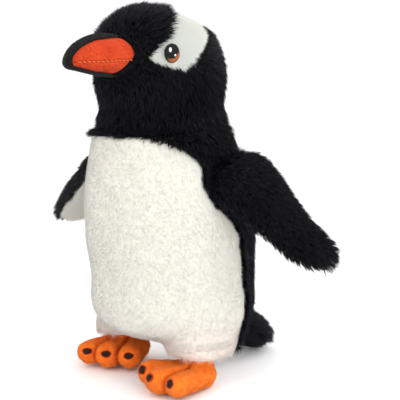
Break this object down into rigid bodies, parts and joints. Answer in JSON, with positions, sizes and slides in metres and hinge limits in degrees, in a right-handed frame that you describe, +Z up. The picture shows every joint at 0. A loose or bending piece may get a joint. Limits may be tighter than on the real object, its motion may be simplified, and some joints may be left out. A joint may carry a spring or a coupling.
{
  "type": "plush penguin",
  "caption": "Standing stuffed penguin toy with long black pile on head, back and wings, white front, orange felt beak and soft orange toed feet.",
  "frame": {"origin": "middle of the bounding box on the floor, between the feet", "axes": "+X to the penguin's left, -Y ahead out of the beak, +Z up"},
  "size_m": [0.2549, 0.1812, 0.2494],
  "materials": {
    "black_long_plush": "long pile",
    "white_plush": "short soft pile",
    "orange_short_plush": "short pile",
    "orange_felt": "matt felt",
    "black_velour": "smooth velour",
    "polyester_fill": "loose fibre",
    "orange_thread": "twisted thread",
    "black_thread": "satin embroidery",
    "brown_thread": "satin embroidery",
    "white_thread": "satin embroidery"
  },
  "bodies": {
    "torso": {"belly_panel": "white_plush", "base_gusset": "white_plush", "neck_yoke": "black_long_plush", "left_back_panel": "black_long_plush", "right_back_panel": "black_long_plush", "torso_stuffing": "polyester_fill", "left_leg_cuff": "white_plush", "left_leg_stuffing": "polyester_fill", "right_leg_cuff": "white_plush", "right_leg_stuffing": "polyester_fill", "left_foot_sole": "orange_short_plush", "left_foot_upper": "orange_short_plush", "left_foot_stuffing": "polyester_fill", "right_foot_sole": "orange_short_plush", "right_foot_upper": "orange_short_plush", "right_foot_stuffing": "polyester_fill"},
    "head": {"crown_panel": "black_long_plush", "eye_band": "white_plush", "nape_panel": "black_long_plush", "left_cheek_panel": "black_long_plush", "right_cheek_panel": "black_long_plush", "head_stuffing": "polyester_fill", "beak_left_side": "orange_felt", "beak_right_side": "orange_felt", "beak_ridge_strip": "black_velour", "beak_stuffing": "polyester_fill", "left_mouth_stitching": "orange_thread", "right_mouth_stitching": "orange_thread", "left_eye_black": "black_thread", "left_eye_iris": "brown_thread", "left_eye_glint": "white_thread", "right_eye_black": "black_thread", "right_eye_iris": "brown_thread", "right_eye_glint": "white_thread"},
    "left_wing": {"left_wing_outer": "black_long_plush", "left_wing_inner": "white_plush", "left_wing_stuffing": "polyester_fill"},
    "right_wing": {"right_wing_outer": "black_long_plush", "right_wing_inner": "white_plush", "right_wing_stuffing": "polyester_fill"},
    "tail": {"tail_upper": "black_long_plush", "tail_under": "black_long_plush", "tail_stuffing": "polyester_fill"}
  },
  "joints": [
    {"name": "neck_turn", "type": "hinge", "parent": "torso", "child": "head", "pos_m": [0, -0.0098, 0.172], "axis": [0, 0, 1], "range_deg": [-25, 25], "stiffness_Nm_per_rad": 0.3},
    {"name": "left_wing_flap", "type": "hinge", "parent": "torso", "child": "left_wing", "pos_m": [0.0602, 0.0028, 0.1376], "axis": [-0.0033, -0.9446, -0.3281], "range_deg": [-18, 60], "stiffness_Nm_per_rad": 0.15},
    {"name": "right_wing_flap", "type": "hinge", "parent": "torso", "child": "right_wing", "pos_m": [-0.0622, 0.0018, 0.1366], "axis": [-0.1097, 0.9626, 0.2479], "range_deg": [-18, 60], "stiffness_Nm_per_rad": 0.15},
    {"name": "tail_lift", "type": "hinge", "parent": "torso", "child": "tail", "pos_m": [0, 0.0514, 0.031], "axis": [1, 0, 0], "range_deg": [-5, 20], "stiffness_Nm_per_rad": 0.15}
  ]
}
